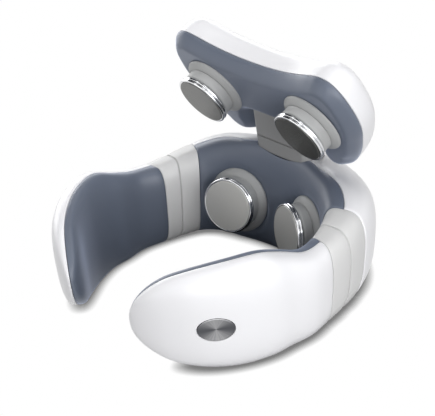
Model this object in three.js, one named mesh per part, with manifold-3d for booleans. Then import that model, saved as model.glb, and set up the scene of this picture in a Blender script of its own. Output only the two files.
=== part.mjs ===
import * as THREE from "three";
import { mergeVertices } from "three/addons/utils/BufferGeometryUtils.js";
import Module from "manifold-3d";

const wasm = await Module();
wasm.setup();

// Neck massager: an open collar that rests on its lower edge, with a tilting module above its back.
// Millimetres, +Z up, the opening towards -Y, the origin on the floor under the middle of the object.

// Clearances and walls
const seam = 0.3; // between two pieces that touch
const shellWall = 2;
const framePlate = 2;
const frameMargin = 1.6; // from a frame's edge to the shell's wall
const cutPast = 20; // how far a cut for a head or for the bracket runs past its seat
const floorHeight = 0;
const leanHeight = 28; // the height at which the stations below are given

// Collar stations, right half, from the middle of the back to the tip of the arm:
// x, y of the inner face, the way the wall faces (degrees from +Y towards +X), wall thickness,
// pad depth, height of the top and of the bottom edge, lean in x and in y for each mm of height.
const stations = [
  [0, 50.4, 0, 33, 6, 57.3, -0.6, 0, 0.21],
  [14, 49.4, 8.4, 34.5, 6, 57.2, -0.6, 0, 0.21],
  [27.5, 46.4, 17, 35, 6.8, 55.7, -0.6, 0, 0.21],
  [40.3, 42.3, 45, 30.5, 10.4, 53.2, -0.6, 0.01, 0.21],
  [49.2, 36.2, 67, 25.5, 11.8, 48.4, -0.8, 0.04, 0.19],
  [54.8, 26.9, 81, 23.5, 9.5, 45.9, -0.8, 0.06, 0.17],
  [57.9, 18.5, 97, 22.7, 10.4, 44.4, -1.2, 0.06, 0.14],
  [62, 4.5, 95.5, 21.4, 8.3, 45.8, -1.2, 0.07, 0.12],
  [60.8, -8.5, 96, 21.8, 7.2, 51.6, -1.2, 0.06, 0.08],
  [60, -20, 101, 21.5, 7.5, 57, -1.2, 0.05, 0.04],
  [55, -33, 114, 20, 7.2, 57.5, -1.2, 0.03, 0.02],
  [46.5, -45, 128, 18.5, 7, 55.5, 0.5, 0.01, 0],
  [36, -55.5, 138, 15.5, 7, 51.5, 4, 0, 0],
  [21, -67, 144, 12, 7, 46, 8, 0, 0],
];
const backEnd = 4; // station at the end of the back section
const linkGroove = 5; // station between the two links of a side
const armStart = 6; // station where the arm begins
const armEnd = stations.length - 1;
const tipHeightFrom = 11.6; // the arm's height closes from this station
const tipDepthFrom = 11.9; // and its thickness from this one
const outerRoundness = 2.9; // superellipse exponents of the two faces
const innerRoundness = 3.6;
const closeRoundness = 2.2;

// Massage heads, measured from the face disc's front along the head's axis
const headFaceRadius = 14.4;
const headRingRadius = 15.7;
const headFaceThickness = 1.6;
const headRingDepth = 3.6;
const ringProud = 0.3; // how far the ring's crest stands above the face
const ringGroove = 0.5; // and how deep the groove round it is
const headPress = 2.5; // how far a head can be pushed in
const stemDiscRadius = 10.7;
const stemShaftRadius = 4.7;
const skirtNeckRadius = 14.8;
const skirtBaseRadius = 18.5;
const skirtWall = 1.6;
const skirtDepth = 12.7;
const skirtFlange = 1.6; // thickness of its flared foot
const skirtFlare = 3.4; // height over which it flares
const guideRadius = 9;
const springRadius = 7.4;
const lowerHead = { x: 24.04, y: 34, z: 26, tilt: -12, toe: 16.6 };
const upperHead = { x: 38.6, tilt: 23, toe: 0.9 };

// Upper module: its frame has the heads' face plane at y = 0 and leans forward at the top
const upperPlace = { y: 38.1, z: 84.8 };
const upperParting = 21; // depth of the line between pad and shell
const upperShellDepth = 16;
const upperEdgeRound = 11; // how far the shell's edge is drawn in
const upperPadRound = 5.5; // and the pad's
const upperRoundness = 2.8; // superellipse exponents of the two edges
const upperPadRoundness = 2.4;
const upperOutline = [
  [0, 22.2], [12, 22.6], [24, 23.8], [34.3, 25.8], [45, 28.6], [53, 29.8], [59.3, 27.9], [63.8, 22],
  [66.2, 13], [66.8, 3.5], [65.2, -5], [61.6, -13], [56.5, -22], [50.5, -30], [44, -36.3], [38, -38.5],
  [32, -37.3], [28.8, -32.5], [28, -25], [25.6, -19], [19, -16.9], [0, -16.2],
];
// The line that the module's edges are drawn in to, from one lower corner to the other
const upperSpine = [[-42, -23], [-45, 1], [45, 1], [42, -23]];
const upperSteps = 76; // points round the outline

// Flexible bracket between the back section and the module
const bracketHalfWidth = 20.3;
const bracketFront = 57;
const bracketDepth = 16;
const bracketFoot = 53.5;
const bracketGroove = 63;
const bracketTop = upperPlace.z - 4.8;
const bracketRound = 4;
const bracketStripMargin = { side: 8, top: 2, below: 6 }; // the strip runs down past the bracket's foot

// Power button in the right arm
const buttonStation = 10.6;
const buttonHeight = 27;
const buttonHalfLength = 9.4;
const buttonHalfHeight = 6.4;
const buttonCap = 2.6;
const buttonFlange = 1.2;
const buttonRim = 1;
const buttonTravel = 0.8;
const ovalSegments = 32;
const boardSize = [24, 1.2, 16];
const switchSize = [5, 1.6, 5];
const postWidth = 4; // the frame's two posts behind the board
const postApart = 16;

// Battery and charging socket in the left arm, spring strips in the links
const batterySize = [26, 5, 22];
const batteryGap = 1; // between it and the frame, because the wall leans
const batteryStation = 8.8;
const socketSize = [9, 7, 3.4];
const socketWall = 0.5;
const socketDepth = 1.2; // how far its mouth lies above the arm's lower edge
const socketBehind = 6; // from the parting plane to its middle
const socketStation = 10.6;
const stripThickness = 0.8;
const stripHalfHeight = 8;
const stripReach = 0.7; // how far a strip runs past the links, in stations

const colours = {
  shell: { color: "#f4f4f7", roughness: 0.25, metalness: 0 },
  pad: { color: "#646b78", roughness: 0.55, metalness: 0 },
  link: { color: "#cfcfcf", roughness: 0.6, metalness: 0 },
  frame: { color: "#3c3f45", roughness: 0.6, metalness: 0 },
  face: { color: "#7d7d79", roughness: 0.4, metalness: 1 },
  chrome: { color: "#e8e8ea", roughness: 0.08, metalness: 1 },
  skirt: { color: "#b4b4ae", roughness: 0.6, metalness: 0 },
  steel: { color: "#b9bbbd", roughness: 0.35, metalness: 1 },
  board: { color: "#1f6b3a", roughness: 0.5, metalness: 0 },
  battery: { color: "#4a6fa5", roughness: 0.5, metalness: 0 },
};

const root = new THREE.Group();
const degrees = THREE.MathUtils.degToRad;

// A smooth value between the rows of the station table; u below 0 is the left half.
function station(u) {
  const a = Math.min(Math.abs(u), armEnd);
  const i = Math.min(Math.floor(a), armEnd - 1);
  const t = a - i;
  const mirrored = [-1, 1, -1, 1, 1, 1, 1, -1, 1];
  const row = (k) => {
    if (k < 0) return stations[-k].map((v, j) => v * mirrored[j]);
    if (k > armEnd) return stations[armEnd].map((v, j) => 2 * v - stations[armEnd - 1][j]);
    return stations[k];
  };
  const [p, q, r, s] = [row(i - 1), row(i), row(i + 1), row(i + 2)];
  const mixed = q.map((v, j) => {
    const b = (r[j] - p[j]) / 2;
    const c = p[j] - 2.5 * v + 2 * r[j] - s[j] / 2;
    const d = (s[j] - p[j]) / 2 + 1.5 * (v - r[j]);
    return v + t * (b + t * (c + t * d));
  });
  const [x, y, facing, wall, pad, top, bottom, leanX, leanY] = mixed;
  return { side: u < 0 ? -1 : 1, x, y, facing: degrees(facing), wall, pad, top, bottom, leanX, leanY };
}

// The point at station u, n outwards from the inner face, at height z of the parting plane.
// A wall that leans back also tilts its edges, and nothing reaches below the floor given.
function place(u, n, z, floor = floorHeight) {
  const s = station(u);
  const x = s.x + n * Math.sin(s.facing) + (z - leanHeight) * s.leanX;
  const y = s.y + n * Math.cos(s.facing) + (z - leanHeight) * s.leanY;
  const leanOut = s.leanX * Math.sin(s.facing) + s.leanY * Math.cos(s.facing);
  return new THREE.Vector3(s.side * x, y, Math.max(z - (n - s.pad) * leanOut, floor));
}

// How far the arm has closed at station u: 1 along the arm, 0 at its tip.
function closing(u, from) {
  const w = THREE.MathUtils.clamp((Math.abs(u) - from) / (armEnd - from), 0, 0.9995);
  return (1 - w ** closeRoundness) ** (1 / closeRoundness);
}

// Half section of the wall: a superellipse dome from the parting plane, as [n, z] from top to bottom.
// inset draws it in, as for the hollow of a shell; outward is 1 for the shell side and -1 for the pad.
function domeProfile(u, outward, inset, steps) {
  const s = station(u);
  const open = closing(u, tipHeightFrom);
  const thick = closing(u, tipDepthFrom);
  const middle = (s.top + s.bottom) / 2;
  const half = ((s.top - s.bottom) / 2) * open - inset;
  const depth = (outward > 0 ? s.wall - s.pad : s.pad) * thick - inset;
  const power = 2 / (outward > 0 ? outerRoundness : innerRoundness);
  const points = [];
  for (let k = 0; k <= steps; k++) {
    const a = Math.PI * (0.5 - k / steps);
    const rise = Math.sign(Math.sin(a)) * Math.abs(Math.sin(a)) ** power;
    points.push([s.pad + outward * depth * Math.max(Math.cos(a), 0) ** power, middle + half * rise]);
  }
  return points;
}

// A closed surface through like-numbered rings of points, with a flat fan at each end.
function loft(rings) {
  const count = rings[0].length;
  const points = rings.flat();
  const index = [];
  for (let i = 0; i + 1 < rings.length; i++) {
    for (let k = 0; k < count; k++) {
      const a = i * count + k;
      const b = i * count + ((k + 1) % count);
      index.push(a, b, b + count, a, b + count, a + count);
    }
  }
  for (const [start, flip] of [[0, true], [(rings.length - 1) * count, false]]) {
    const hub = points.length;
    const ring = points.slice(start, start + count);
    points.push(ring.reduce((sum, p) => sum.clone().add(p)).divideScalar(count));
    for (let k = 0; k < count; k++) {
      const a = start + k;
      const b = start + ((k + 1) % count);
      index.push(...(flip ? [hub, b, a] : [hub, a, b]));
    }
  }
  return fromPoints(points, index);
}

function fromPoints(points, index) {
  const geometry = new THREE.BufferGeometry().setFromPoints(points);
  geometry.setIndex(index);
  return signedVolume(geometry) < 0 ? flipped(geometry) : geometry;
}

function signedVolume(geometry) {
  const p = geometry.attributes.position;
  const [a, b, c] = [new THREE.Vector3(), new THREE.Vector3(), new THREE.Vector3()];
  let sum = 0;
  for (let i = 0; i < geometry.index.count; i += 3) {
    a.fromBufferAttribute(p, geometry.index.getX(i));
    b.fromBufferAttribute(p, geometry.index.getX(i + 1));
    c.fromBufferAttribute(p, geometry.index.getX(i + 2));
    sum += a.dot(b.cross(c));
  }
  return sum;
}

function flipped(geometry) {
  const order = [...geometry.index.array];
  for (let i = 0; i < order.length; i += 3) [order[i], order[i + 1]] = [order[i + 1], order[i]];
  geometry.setIndex(order);
  return geometry;
}

// A geometry, moved by a matrix if one is given, as a solid that can be cut and joined.
function solid(geometry, matrix) {
  const bare = geometry.clone();
  bare.deleteAttribute("normal");
  bare.deleteAttribute("uv");
  if (matrix) bare.applyMatrix4(matrix);
  const merged = mergeVertices(bare, 1e-4);
  return new wasm.Manifold(
    new wasm.Mesh({
      numProp: 3,
      vertProperties: new Float32Array(merged.attributes.position.array),
      triVerts: new Uint32Array(merged.index.array),
    }),
  );
}

function geometryOf(made) {
  const mesh = made.getMesh();
  const geometry = new THREE.BufferGeometry();
  geometry.setAttribute("position", new THREE.BufferAttribute(mesh.vertProperties, 3));
  geometry.setIndex(new THREE.BufferAttribute(mesh.triVerts, 1));
  return geometry;
}

function addPart(name, colour, made, parent = root) {
  const geometry = made.isBufferGeometry ? made : geometryOf(made);
  geometry.computeVertexNormals();
  const mesh = new THREE.Mesh(geometry, new THREE.MeshStandardMaterial(colours[colour]));
  mesh.name = name;
  parent.add(mesh);
  return mesh;
}

// Stations from one end to the other, closer together towards a rounded tip.
function stationsBetween(from, to, steps, tip = false) {
  return Array.from({ length: steps + 1 }, (_, i) => {
    const t = i / steps;
    return from + (to - from) * (tip ? Math.sin((t * Math.PI) / 2) ** 0.92 : t);
  });
}

const sectionSteps = 8;
const backSteps = 18; // rings along the back and along an arm
const armSteps = 18;
const gapStations = seam / 2 / 10; // half a seam, where stations are about 10 mm apart
const pastEnd = 0.3; // how far a cut runs past the end of a shell, in stations

// A solid of one side of the wall, along the given stations.
function wallSolid(list, outward, inset = 0) {
  const rings = list.map((u) => {
    const from = outward * (seam / 2);
    const points = domeProfile(u, outward, inset, sectionSteps);
    return points.map(([n, z], k) => {
      const edge = k === 0 || k === sectionSteps;
      return place(u, edge && inset === 0 ? n + from : n, z, floorHeight + inset);
    });
  });
  return solid(loft(rings));
}

// A band inside the wall: n and z limits are functions of the station.
function bandSolid(list, limits) {
  const rings = list.map((u) => {
    const { inner, outer, low, high } = limits(u);
    const middle = (low + high) / 2;
    const ring = [[inner, low], [outer, low], [outer, middle], [outer, high], [inner, high], [inner, middle]];
    return ring.map(([n, z]) => place(u, n, z, floorHeight + shellWall + 2 * seam));
  });
  return solid(loft(rings));
}

// The stiff plate on the parting plane, inside the shell's walls.
function frameSolid(list) {
  return bandSolid(list, (u) => {
    const s = station(u);
    const open = closing(u, tipHeightFrom);
    const middle = (s.top + s.bottom) / 2;
    const half = ((s.top - s.bottom) / 2) * open - shellWall - frameMargin;
    return {
      inner: s.pad + seam,
      outer: s.pad + seam + framePlate,
      low: middle - half,
      high: middle + half,
    };
  });
}

// One flexible link: both faces of the wall in one ring.
function linkSolid(list) {
  const rings = list.map((u) => {
    const outer = domeProfile(u, 1, 0, sectionSteps);
    const inner = domeProfile(u, -1, 0, sectionSteps).reverse().slice(1, -1);
    return [...outer, ...inner].map(([n, z]) => place(u, n, z));
  });
  return solid(loft(rings));
}

// The spring-steel strip behind the frames, and the channel that it lies in.
function stripLimits(grow) {
  return (u) => {
    const s = station(u);
    const inner = s.pad + 2 * seam + framePlate;
    const middle = (s.top + s.bottom) / 2;
    return {
      inner: inner - grow,
      outer: inner + stripThickness + grow,
      low: middle - stripHalfHeight - grow,
      high: middle + stripHalfHeight + grow,
    };
  };
}

// Places of the heads, with the axis along the local +Y, away from the neck
function headMatrix(side, place3, tilt, toe) {
  const turn = new THREE.Matrix4().makeRotationX(degrees(tilt));
  turn.multiply(new THREE.Matrix4().makeRotationZ(degrees(-side * toe)));
  return new THREE.Matrix4().makeTranslation(side * place3.x, place3.y, place3.z).multiply(turn);
}

function lathe(profile, segments = 24) {
  const points = profile.map(([r, y]) => new THREE.Vector2(r, y));
  const geometry = new THREE.LatheGeometry(points, segments);
  geometry.deleteAttribute("uv");
  geometry.deleteAttribute("normal");
  const merged = mergeVertices(geometry, 1e-4);
  return signedVolume(merged) < 0 ? flipped(merged) : merged;
}

const cylinderAlong = (radius, from, to) => lathe([[0, from], [radius, from], [radius, to], [0, to]]);

const boreRadius = stemShaftRadius + seam;
const discBack = headRingDepth + 1.4;
const guideFront = skirtDepth + 2 * seam;
const lowerGuideBack = skirtDepth + stations[0][4] + framePlate;
const upperGuideBack = upperParting + framePlate;
const stemEnd = Math.max(lowerGuideBack, upperGuideBack) + 1;

// A head: a steel face in a chrome ring on a sliding stem, with its spring and its soft skirt.
function addHead(name, matrix) {
  const group = new THREE.Group();
  group.applyMatrix4(matrix);
  root.add(group);
  const lip = headFaceRadius + seam;
  const seat = headFaceThickness + seam;
  const throat = stemDiscRadius + seam;
  addPart(`${name}_face`, "face", cylinderAlong(headFaceRadius, 0, headFaceThickness), group);
  addPart(`${name}_ring`, "chrome", lathe([
    [lip, 0], [(lip + headRingRadius) / 2, -ringProud], [headRingRadius, headRingDepth * 0.2],
    [headRingRadius - ringGroove, headRingDepth * 0.4], [headRingRadius, headRingDepth * 0.6],
    [headRingRadius, headRingDepth * 0.8], [headRingRadius - 2 * ringGroove, headRingDepth],
    [throat, headRingDepth], [throat, seat], [lip, seat], [lip, 0],
  ]), group);
  addPart(`${name}_stem`, "frame", lathe([
    [0, seat], [stemDiscRadius, seat], [stemDiscRadius, discBack],
    [stemShaftRadius, discBack], [stemShaftRadius, stemEnd], [0, stemEnd],
  ], 16), group);
  const front = headRingDepth + seam;
  const inside = skirtNeckRadius - skirtWall;
  addPart(`${name}_skirt`, "skirt", lathe([
    [skirtNeckRadius - 1, front], [skirtNeckRadius, front + 1], [skirtNeckRadius, skirtDepth - skirtFlare],
    [(skirtNeckRadius + skirtBaseRadius) / 2, skirtDepth - skirtFlange - 0.4],
    [skirtBaseRadius, skirtDepth - skirtFlange / 2], [skirtBaseRadius, skirtDepth],
    [inside, skirtDepth], [inside, skirtDepth - skirtFlare], [throat + seam, discBack + headPress],
    [throat + seam, front], [skirtNeckRadius - 1, front],
  ]), group);
  const springFront = discBack + seam;
  const springBack = skirtDepth + seam;
  addPart(`${name}_spring`, "steel", lathe([
    [boreRadius, springFront], [springRadius, springFront],
    [springRadius, springBack], [boreRadius, springBack], [boreRadius, springFront],
  ], 16), group);
}

// Takes the head's seat out of a pad: a spot face under the skirt and the hole for the guide.
function seatHead(pad, matrix) {
  const spot = solid(cylinderAlong(skirtBaseRadius + seam, -cutPast, skirtDepth + seam), matrix);
  const hole = solid(cylinderAlong(guideRadius + seam, skirtDepth, skirtDepth + cutPast), matrix);
  return pad.subtract(spot).subtract(hole);
}

// Gives a frame the guide that the head's stem slides in.
function guideHead(frame, matrix, back) {
  const boss = solid(cylinderAlong(guideRadius, guideFront, back), matrix);
  const bore = solid(cylinderAlong(boreRadius, 0, stemEnd + cutPast), matrix);
  return frame.add(boss).subtract(bore);
}

const lowerHeads = { left: headMatrix(-1, lowerHead, lowerHead.tilt, lowerHead.toe) };
lowerHeads.right = headMatrix(1, lowerHead, lowerHead.tilt, lowerHead.toe);
const upperHeadPlace = { x: upperHead.x, y: upperPlace.y, z: upperPlace.z };
const upperHeads = { left: headMatrix(-1, upperHeadPlace, upperHead.tilt, upperHead.toe) };
upperHeads.right = headMatrix(1, upperHeadPlace, upperHead.tilt, upperHead.toe);

// The bracket's outline from above, with rounded corners, raised between two heights.
function bracketBlock(low, high, grow = 0) {
  const w = bracketHalfWidth + grow;
  const d = bracketDepth / 2 + grow;
  const r = bracketRound + grow;
  const shape = new THREE.Shape();
  shape.moveTo(-w + r, -d);
  shape.lineTo(w - r, -d);
  shape.absarc(w - r, -d + r, r, -Math.PI / 2, 0);
  shape.absarc(w - r, d - r, r, 0, Math.PI / 2);
  shape.absarc(-w + r, d - r, r, Math.PI / 2, Math.PI);
  shape.absarc(-w + r, -d + r, r, Math.PI, 1.5 * Math.PI);
  const geometry = new THREE.ExtrudeGeometry(shape, {
    depth: high - low, bevelEnabled: false, curveSegments: 5,
  });
  geometry.translate(0, bracketFront + bracketDepth / 2, low);
  return solid(geometry);
}

function boxSolid(size, matrix) {
  return solid(new THREE.BoxGeometry(...size), matrix);
}

const bracketStripBox = (grow) => {
  const low = bracketFoot - bracketStripMargin.below;
  const high = bracketTop - bracketStripMargin.top;
  const width = 2 * (bracketHalfWidth - bracketStripMargin.side);
  const size = [width + 2 * grow, stripThickness + 2 * grow, high - low + 2 * grow];
  const y = bracketFront + bracketDepth / 2;
  return boxSolid(size, new THREE.Matrix4().makeTranslation(0, y, (low + high) / 2));
};

function addBack() {
  const list = stationsBetween(-backEnd + gapStations, backEnd - gapStations, backSteps);
  const bracketCut = bracketBlock(bracketFoot - seam, bracketTop + cutPast, seam);
  let pad = wallSolid(list, -1).subtract(bracketCut);
  let frame = frameSolid(list).subtract(bracketCut);
  for (const side of ["left", "right"]) {
    pad = seatHead(pad, lowerHeads[side]);
    frame = guideHead(frame, lowerHeads[side], lowerGuideBack);
  }
  const wide = [-backEnd - pastEnd, ...list.slice(1, -1), backEnd + pastEnd];
  const shell = wallSolid(list, 1).subtract(wallSolid(wide, 1, shellWall)).subtract(bracketCut);
  addPart("rear_pad", "pad", pad);
  addPart("rear_frame", "frame", frame);
  addPart("rear_shell", "shell", shell);
}

function addLinks(sideName, side) {
  const slots = bandSolid(
    stationsBetween(side * (backEnd - stripReach - 0.1), side * (armStart + stripReach + 0.1), 12),
    stripLimits(seam),
  );
  const rear = stationsBetween(side * (backEnd + gapStations), side * (linkGroove - gapStations), 5);
  const front = stationsBetween(side * (linkGroove + gapStations), side * (armStart - gapStations), 5);
  addPart(`${sideName}_link_rear`, "link", linkSolid(rear).subtract(slots));
  addPart(`${sideName}_link_front`, "link", linkSolid(front).subtract(slots));
  const strip = bandSolid(
    stationsBetween(side * (backEnd - stripReach), side * (armStart + stripReach), 12),
    stripLimits(0),
  );
  addPart(`${sideName}_link_strip`, "steel", strip);
}

// How deep the shell is hollow at station u
function hollowDepth(u) {
  const s = station(u);
  return (s.wall - s.pad) * closing(u, tipDepthFrom) - shellWall;
}

function armSolids(side) {
  const start = side * (armStart + gapStations);
  const list = stationsBetween(start, side * armEnd, armSteps, true);
  const roomy = list.slice(1).filter((u) => hollowDepth(u) > 1);
  const hollow = [side * (armStart - pastEnd), ...roomy];
  const frameList = stationsBetween(start, side * (tipDepthFrom + 0.2), 12);
  return {
    pad: wallSolid(list, -1),
    shell: wallSolid(list, 1).subtract(wallSolid(hollow, 1, shellWall)),
    frame: frameSolid(frameList),
  };
}

// The outer face of the shell at a station and a height: a point, the way it faces
// and how far it stands out from the parting plane.
function outerFace(u, height) {
  const outAt = (v, z) => {
    const profile = domeProfile(v, 1, 0, 96);
    const k = Math.max(profile.findIndex((p) => p[1] <= z), 1);
    const [a, b] = [profile[k - 1], profile[k]];
    const t = (a[1] - z) / (a[1] - b[1]);
    return a[0] + t * (b[0] - a[0]);
  };
  const at = (v, z) => place(v, outAt(v, z), z);
  const along = at(u + 0.05, height).sub(at(u - 0.05, height));
  const up = at(u, height + 1).sub(at(u, height - 1));
  const normal = new THREE.Vector3().crossVectors(up, along).normalize();
  const centre = at(u, height);
  if (normal.x * centre.x < 0) normal.negate();
  return { centre, normal, along: along.normalize(), proud: outAt(u, height) - station(u).pad };
}

// A frame whose +Y runs out of the shell along its normal, with X along the arm.
function faceMatrix({ centre, normal, along }, depth) {
  const x = along.clone().addScaledVector(normal, -along.dot(normal)).normalize();
  const z = new THREE.Vector3().crossVectors(x, normal);
  const origin = centre.clone().addScaledVector(normal, -depth);
  return new THREE.Matrix4().makeBasis(x, normal, z).setPosition(origin);
}

// An oval solid through rings of [grow, depth below the shell's outer face].
function ovalSolid(rings, matrix) {
  return solid(loft(rings.map(([grow, depth]) => {
    return Array.from({ length: ovalSegments }, (_, i) => {
      const a = (2 * Math.PI * i) / ovalSegments;
      const x = (buttonHalfLength + grow) * Math.cos(a);
      return new THREE.Vector3(x, -depth, (buttonHalfHeight + grow) * Math.sin(a));
    });
  })), matrix);
}

function addRightArm() {
  const arm = armSolids(1);
  const face = outerFace(buttonStation, buttonHeight);
  const flush = faceMatrix(face, 0);
  const flangeFrom = buttonCap + seam;
  const pocketBack = flangeFrom + buttonFlange + buttonTravel;
  const hole = ovalSolid([[seam, -buttonCap], [seam, flangeFrom]], flush);
  const pocket = ovalSolid([[buttonRim + 2 * seam, buttonCap], [buttonRim + 2 * seam, pocketBack]], flush);
  addPart("right_arm_pad", "pad", arm.pad);
  addPart("right_arm_shell", "shell", arm.shell.subtract(hole).subtract(pocket));
  const flangeBack = flangeFrom + buttonFlange;
  const button = [[0, 0], [0, flangeFrom], [buttonRim, flangeFrom], [buttonRim, flangeBack]];
  addPart("power_button", "steel", ovalSolid(button, flush));
  const switchTop = pocketBack + seam;
  const switchAt = faceMatrix(face, switchTop + switchSize[1] / 2);
  addPart("button_switch", "frame", boxSolid(switchSize, switchAt));
  const boardTop = switchTop + switchSize[1] + seam;
  addPart("control_board", "board", boxSolid(boardSize, faceMatrix(face, boardTop + boardSize[1] / 2)));
  const postFrom = boardTop + boardSize[1] + seam;
  const postTo = face.proud - seam - framePlate / 2;
  const post = [postWidth, postTo - postFrom, postWidth];
  const posts = [-postApart / 2, postApart / 2].map((x) => {
    const at = faceMatrix(face, (postFrom + postTo) / 2);
    return boxSolid(post, at.multiply(new THREE.Matrix4().makeTranslation(x, 0, 0)));
  });
  addPart("right_arm_frame", "frame", arm.frame.add(posts[0]).add(posts[1]));
}

function addLeftArm() {
  const arm = armSolids(-1);
  const s = station(-batteryStation);
  const turn = new THREE.Matrix4().makeRotationZ(s.facing);
  const behind = s.pad + seam + framePlate + batteryGap + batterySize[1] / 2;
  const at = place(-batteryStation, behind, (s.top + s.bottom) / 2);
  const batteryAt = new THREE.Matrix4().makeTranslation(at.x, at.y, at.z).multiply(turn);
  const e = station(-socketStation);
  const bottom = place(-socketStation, e.pad + socketBehind, e.bottom);
  const socketTurn = new THREE.Matrix4().makeRotationZ(e.facing);
  const socketAt = (lift) =>
    new THREE.Matrix4().makeTranslation(bottom.x, bottom.y, bottom.z + lift).multiply(socketTurn);
  const [width, tall, deep] = socketSize;
  const slot = boxSolid([width + 2 * seam, deep + 2 * seam, 2 * (socketDepth + tall + seam)], socketAt(0));
  const socket = boxSolid([width, deep, tall], socketAt(tall / 2 + socketDepth));
  const mouth = boxSolid([width - 2 * socketWall, deep - 2 * socketWall, tall], socketAt(tall / 2));
  addPart("left_arm_pad", "pad", arm.pad);
  addPart("left_arm_frame", "frame", arm.frame);
  addPart("left_arm_shell", "shell", arm.shell.subtract(slot));
  addPart("battery_cell", "battery", boxSolid(batterySize, batteryAt));
  addPart("charging_socket", "steel", socket.subtract(mouth));
}

// Closed outline of the upper module, smooth through the half outline and its mirror.
function upperCurve(count) {
  const left = upperOutline.slice(1, -1).reverse().map(([x, z]) => [-x, z]);
  const points = [...upperOutline, ...left].map(([x, z]) => new THREE.Vector3(x, 0, z));
  const curve = new THREE.CatmullRomCurve3(points, true, "centripetal");
  return curve.getSpacedPoints(count).slice(0, -1);
}

const spineLines = upperSpine.slice(1).map(([x, z], i) => {
  const [fromX, fromZ] = upperSpine[i];
  return new THREE.Line3(new THREE.Vector3(fromX, 0, fromZ), new THREE.Vector3(x, 0, z));
});

// The outline drawn in by a distance, straight towards the nearest point of the spine.
function drawnIn(ring, distance) {
  return ring.map((p) => {
    const near = spineLines.map((line) => line.closestPointToPoint(p, true, new THREE.Vector3()));
    near.sort((a, b) => a.distanceTo(p) - b.distanceTo(p));
    return p.clone().addScaledVector(near[0].sub(p).normalize(), distance);
  });
}

// A domed plate over the module's outline, from the parting depth outwards.
function domedPlate(from, depth, round, inset, roundness = 2, steps = 5) {
  const outline = drawnIn(upperCurve(upperSteps), inset);
  const rings = [];
  for (let k = 0; k <= steps; k++) {
    const a = (k / steps) * (Math.PI / 2);
    const ring = drawnIn(outline, round * (1 - Math.max(Math.cos(a), 0) ** (2 / roundness)));
    const out = from + depth * Math.sin(a) ** (2 / roundness);
    rings.push(ring.map((p) => new THREE.Vector3(p.x, out, p.z)));
  }
  return cappedLoft(rings);
}

// A loft whose two end rings are closed by flat triangulated caps.
function cappedLoft(rings) {
  const count = rings[0].length;
  const points = rings.flat();
  const index = [];
  for (let i = 0; i + 1 < rings.length; i++) {
    for (let k = 0; k < count; k++) {
      const a = i * count + k;
      const b = i * count + ((k + 1) % count);
      index.push(a, b, b + count, a, b + count, a + count);
    }
  }
  for (const [start, flip] of [[0, true], [(rings.length - 1) * count, false]]) {
    const flat = points.slice(start, start + count).map((p) => new THREE.Vector2(p.x, p.z));
    const clockwise = THREE.ShapeUtils.isClockWise(flat);
    const order = clockwise ? flat.map((_, k) => count - 1 - k) : flat.map((_, k) => k);
    const faces = THREE.ShapeUtils.triangulateShape(order.map((k) => flat[k]), []);
    for (const face of faces) {
      const [a, b, c] = face.map((k) => start + order[k]);
      index.push(...(flip === clockwise ? [a, b, c] : [a, c, b]));
    }
  }
  return fromPoints(points, index);
}

const upperMatrix = new THREE.Matrix4()
  .makeTranslation(0, upperPlace.y, upperPlace.z)
  .multiply(new THREE.Matrix4().makeRotationX(degrees(upperHead.tilt)));

function addUpper() {
  const padDepth = upperParting - skirtDepth - seam;
  const bracketCut = bracketBlock(0, bracketTop + seam, seam);
  const inside = [upperShellDepth - shellWall, upperEdgeRound - shellWall];
  const rim = upperParting - seam / 2;
  const padPlate = domedPlate(rim, seam / 2 - padDepth, upperPadRound, 0, upperPadRoundness);
  const shellPlate = domedPlate(rim + seam, upperShellDepth, upperEdgeRound, 0, upperRoundness);
  const hollow = domedPlate(upperParting - 1, inside[0] + 1, inside[1], shellWall, upperRoundness);
  const plate = domedPlate(upperParting + seam, framePlate, 0, shellWall + frameMargin, 2, 1);
  let pad = solid(padPlate, upperMatrix).subtract(bracketCut);
  let frame = solid(plate, upperMatrix).subtract(bracketCut);
  for (const side of ["left", "right"]) {
    pad = seatHead(pad, upperHeads[side]);
    frame = guideHead(frame, upperHeads[side], upperGuideBack);
  }
  const shell = solid(shellPlate, upperMatrix).subtract(solid(hollow, upperMatrix));
  addPart("upper_pad", "pad", pad);
  addPart("upper_frame", "frame", frame);
  addPart("upper_shell", "shell", shell.subtract(bracketCut));
}

function addBracket() {
  const slot = bracketStripBox(seam);
  const lower = bracketBlock(bracketFoot, bracketGroove - seam / 2).subtract(slot);
  const upper = bracketBlock(bracketGroove + seam / 2, bracketTop).subtract(slot);
  addPart("bracket_lower", "link", lower);
  addPart("bracket_upper", "link", upper);
  addPart("bracket_strip", "steel", bracketStripBox(0));
}

addBack();
addLinks("left", -1);
addLinks("right", 1);
addLeftArm();
addRightArm();
addBracket();
addUpper();
for (const side of ["left", "right"]) {
  addHead(`lower_${side}_head`, lowerHeads[side]);
  addHead(`upper_${side}_head`, upperHeads[side]);
}

// The origin goes under the middle of the whole object
const wholeBox = new THREE.Box3().setFromObject(root);
root.position.y = -(wholeBox.min.y + wholeBox.max.y) / 2;

export default root;
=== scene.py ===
import math

import bmesh
import bpy
import numpy as np
from mathutils import Matrix, Vector


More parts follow.
